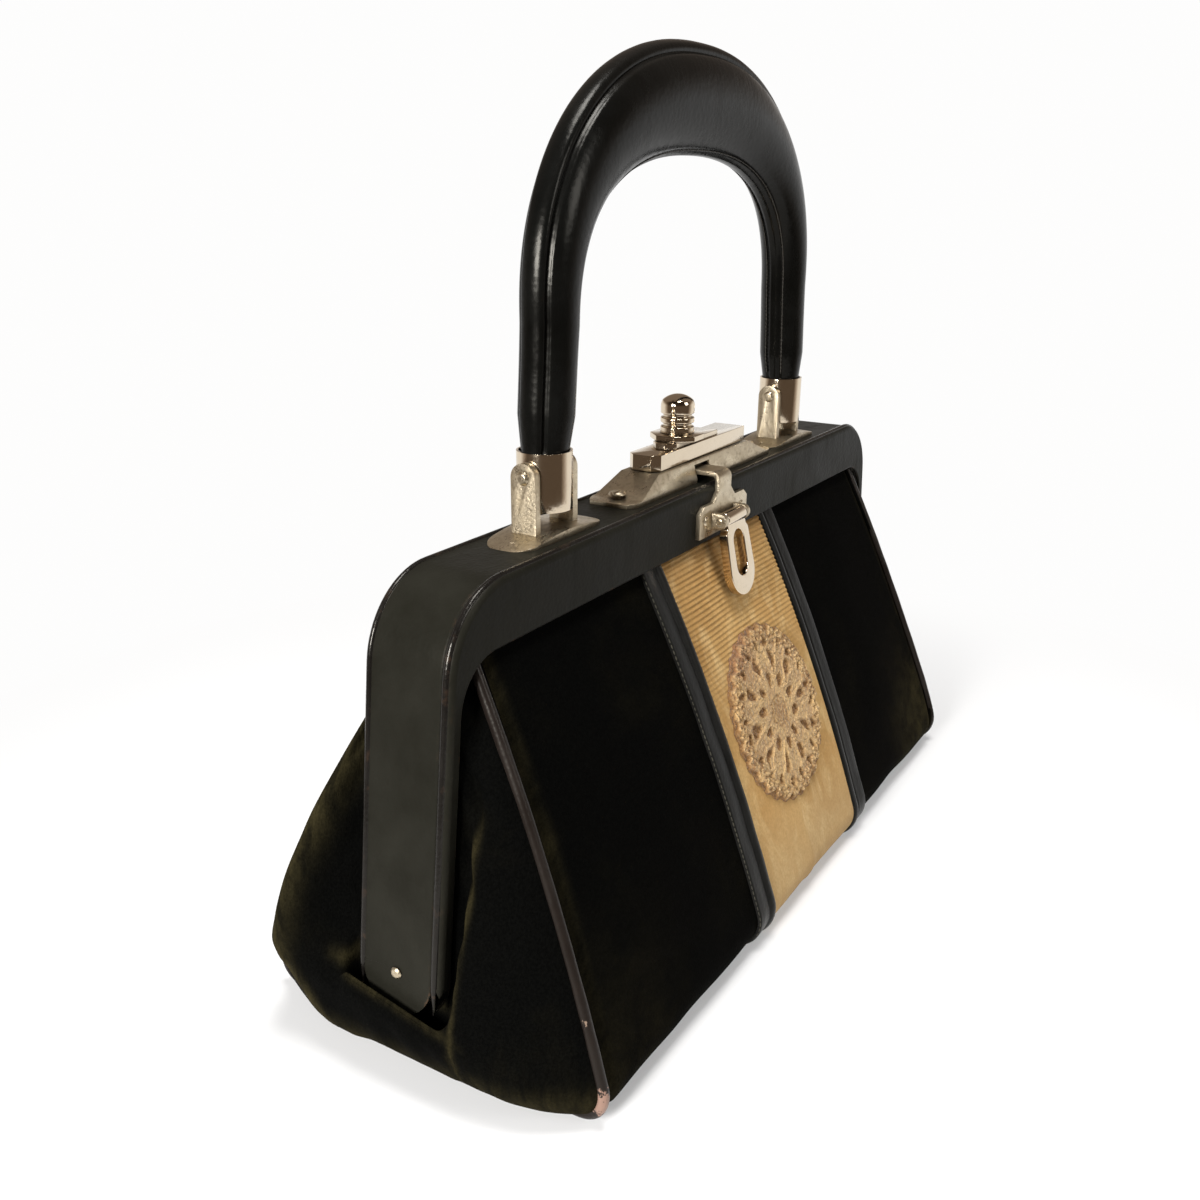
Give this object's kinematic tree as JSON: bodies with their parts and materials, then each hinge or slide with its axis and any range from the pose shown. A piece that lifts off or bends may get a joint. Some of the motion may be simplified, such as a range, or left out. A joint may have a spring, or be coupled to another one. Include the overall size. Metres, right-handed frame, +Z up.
{
  "type": "framed handbag",
  "caption": "Framed handbag with velvet walls, a hinged front frame, a slide lock with a knob, a hasp with a drop pull, and a stiff loop handle on swivel mounts.",
  "frame": {"origin": "on the floor, at the middle of the base", "axes": "+X to the viewer's right along the frame, +Y from the front with the hasp to the back, +Z up"},
  "size_m": [0.2822, 0.106, 0.2467],
  "materials": {
    "velvet": "worn cotton velvet, near black with an olive brown cast",
    "ribbed_velvet": "tan velvet with fine level ribs",
    "strip_leather": "thin black leather, stitched",
    "applique": "looped thread applique",
    "piping": "dark piping, scuffed",
    "frame_leather": "smooth black leather over steel, satin",
    "handle_leather": "glossy black leather",
    "nickel": "dull warm nickel plate",
    "polished_nickel": "polished nickel plate",
    "steel": "plain steel",
    "lining": "brown twill lining",
    "board": "grey-brown fibre board"
  },
  "bodies": {
    "bag_body": {"rear_frame": "steel", "rear_frame_leather": "frame_leather", "hinge_rivet_left": "nickel", "hinge_rivet_right": "nickel", "hinge_washers": "steel", "front_velvet_left": "velvet", "front_velvet_right": "velvet", "front_stripe": "ribbed_velvet", "front_strip_left": "strip_leather", "front_strip_right": "strip_leather", "medallion": "applique", "rear_velvet_left": "velvet", "rear_velvet_right": "velvet", "rear_stripe": "ribbed_velvet", "rear_strip_left": "strip_leather", "rear_strip_right": "strip_leather", "gusset_left": "velvet", "gusset_right": "velvet", "bottom_velvet": "velvet", "bottom_board": "board", "piping_front_left": "piping", "piping_front_right": "piping", "piping_rear_left": "piping", "piping_rear_right": "piping", "lining_front": "lining", "lining_rear": "lining", "lining_left": "lining", "lining_right": "lining", "lining_bottom": "lining", "lock_base": "nickel", "lock_screws": "nickel", "lock_backing_plate": "steel", "lock_nuts": "steel", "detent_spring": "steel", "mount_left": "nickel", "mount_right": "nickel", "mount_nuts": "steel", "handle_pin_left": "nickel", "handle_pin_right": "nickel"},
    "front_frame": {"front_frame": "steel", "front_frame_leather": "frame_leather", "hasp": "nickel", "hasp_rivets": "nickel", "drop_pin": "steel"},
    "handle": {"handle_core": "steel", "handle_leather": "handle_leather", "handle_welt": "handle_leather", "ferrule_left": "polished_nickel", "ferrule_right": "polished_nickel"},
    "lock_slide": {"lock_slide": "nickel", "knob_collar": "nickel", "knob": "polished_nickel", "lock_bolt": "steel"},
    "drop_pull": {"drop_pull": "polished_nickel"}
  },
  "joints": [
    {"name": "front_open", "type": "hinge", "parent": "bag_body", "child": "front_frame", "pos_m": [0, 0, 0.031], "axis": [1, 0, 0], "range_deg": [0, 45]},
    {"name": "handle_swing", "type": "hinge", "parent": "bag_body", "child": "handle", "pos_m": [0, 0, 0.1422], "axis": [1, 0, 0], "range_deg": [-100, 100]},
    {"name": "lock_travel", "type": "slide", "parent": "bag_body", "child": "lock_slide", "axis": [-1, 0, 0], "range_m": [0, 0.008]},
    {"name": "drop_swing", "type": "hinge", "parent": "front_frame", "child": "drop_pull", "pos_m": [0.0015, -0.0174, 0.1162], "axis": [-1, 0, 0], "range_deg": [0, 110]}
  ]
}
